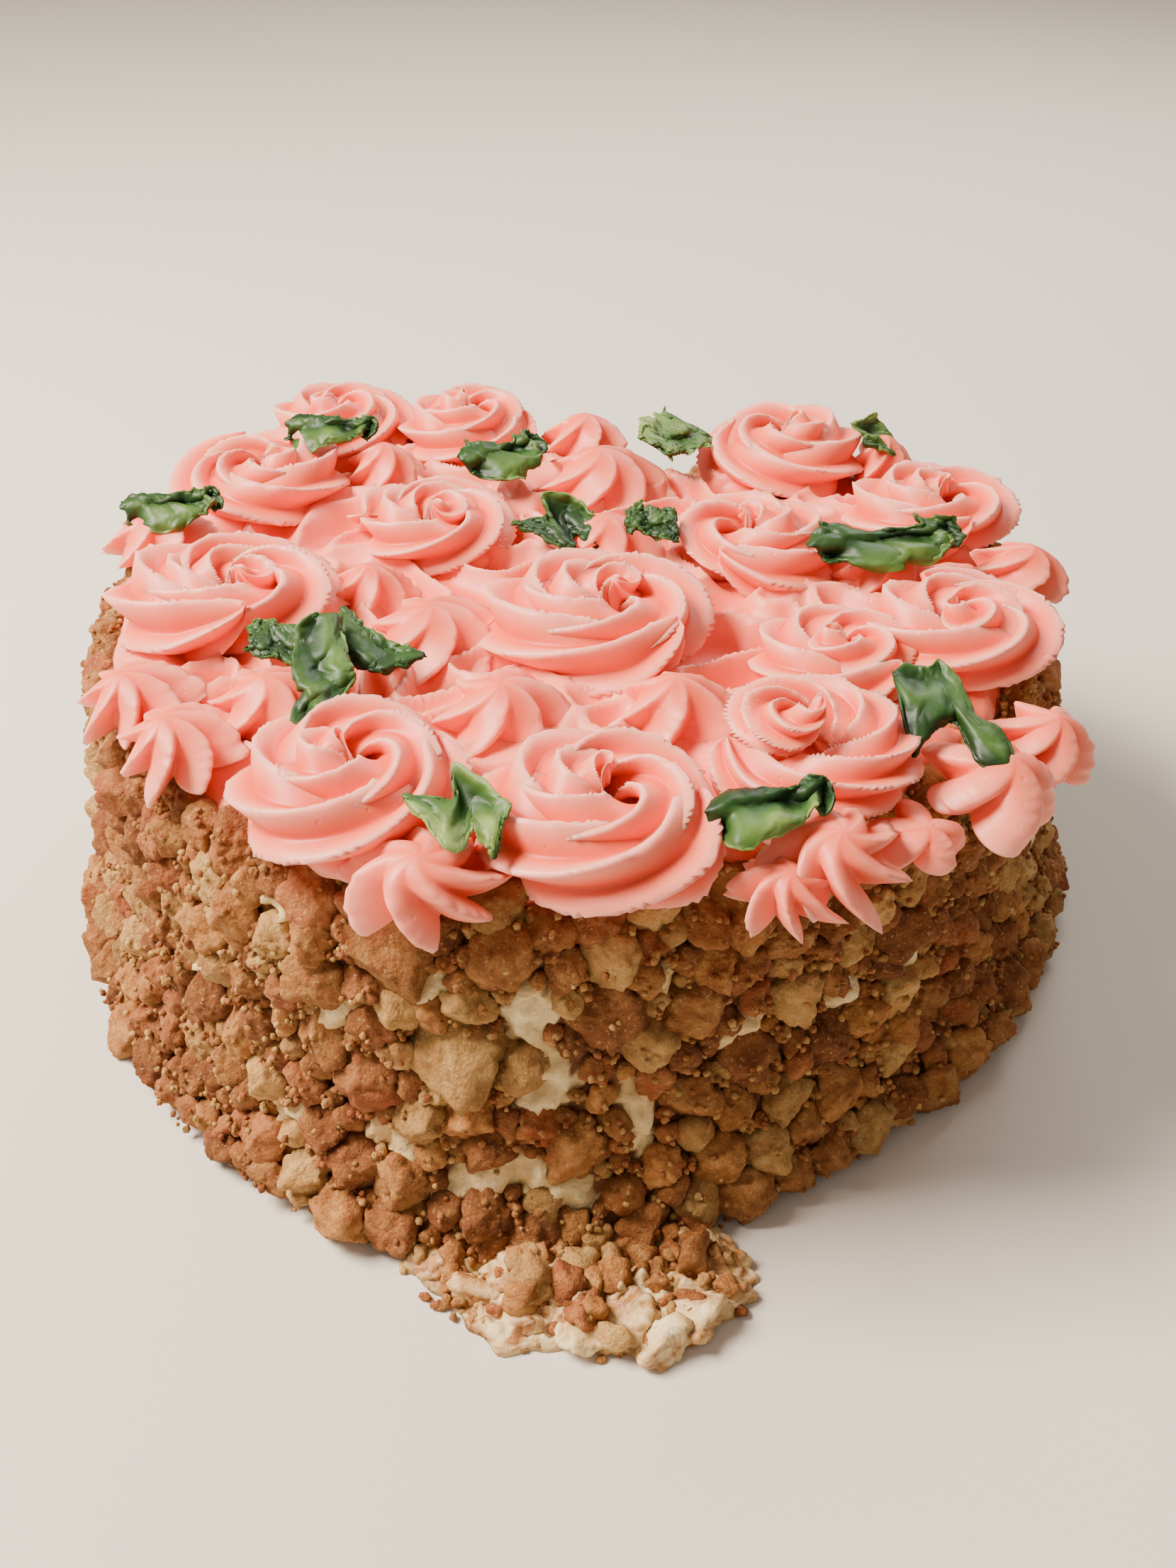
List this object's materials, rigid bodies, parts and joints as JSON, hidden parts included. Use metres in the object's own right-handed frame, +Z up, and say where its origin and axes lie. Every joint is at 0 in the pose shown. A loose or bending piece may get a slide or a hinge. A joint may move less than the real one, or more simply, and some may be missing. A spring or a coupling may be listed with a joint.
{
  "type": "strawberry crunch cake",
  "caption": "Heart-shaped layer cake coated in baked crumbs, topped with piped pink cream rosettes and ruffled green icing leaves.",
  "frame": {"origin": "on the flat underside, below the middle of the whole cake's box, its foot of spilt crumbs included", "axes": "+Z up; -Y towards the heart's rounded tip, +Y towards the cleft between the lobes; +X to the right, seen from the tip"},
  "size_m": [0.2756, 0.2704, 0.1139],
  "materials": {
    "crumb_coating": "rough, matt baked biscuit crumbs with pale cream showing between them",
    "pink_cream": "soft satin buttercream, salmon pink, slightly translucent",
    "green_icing": "semi-gloss piped icing, dark to light green"
  },
  "bodies": {
    "root": {"cake": "crumb_coating", "icing_bed": "pink_cream", "rosette_front_left": "pink_cream", "rosette_front": "pink_cream", "rosette_front_right": "pink_cream", "rosette_left": "pink_cream", "rosette_middle": "pink_cream", "rosette_left_inner": "pink_cream", "rosette_left_outer": "pink_cream", "rosette_back_left_outer": "pink_cream", "rosette_back_left_inner": "pink_cream", "rosette_back_right_inner": "pink_cream", "rosette_back_right_outer": "pink_cream", "rosette_right": "pink_cream", "rosette_right_inner": "pink_cream", "rosette_between": "pink_cream", "drop_left_rear": "pink_cream", "drop_left_front": "pink_cream", "drop_front": "pink_cream", "drop_front_right": "pink_cream", "drop_front_right_low": "pink_cream", "drop_right_petal": "pink_cream", "drop_right_front": "pink_cream", "drop_right_rear": "pink_cream", "drop_inner_left": "pink_cream", "drop_inner_front": "pink_cream", "drop_beside_left": "pink_cream", "drop_beside_middle": "pink_cream", "drop_cleft": "pink_cream", "drop_middle_rear": "pink_cream", "drop_left_gap": "pink_cream", "drop_right_gap": "pink_cream", "drop_left_lower": "pink_cream", "drop_left_rim": "pink_cream", "drop_left_back_rim": "pink_cream", "drop_right_rim": "pink_cream", "drop_right_lobe": "pink_cream", "leaf_front_left": "green_icing", "leaf_front_right": "green_icing", "leaf_right": "green_icing", "leaf_cluster_long": "green_icing", "leaf_cluster_side": "green_icing", "leaf_cluster_low": "green_icing", "leaf_middle_long": "green_icing", "leaf_middle_short": "green_icing", "leaf_left_rim": "green_icing", "leaf_left_lobe": "green_icing", "leaf_left_inner": "green_icing", "leaf_cleft": "green_icing", "leaf_right_lobe": "green_icing", "leaf_right_long": "green_icing"}
  },
  "joints": []
}
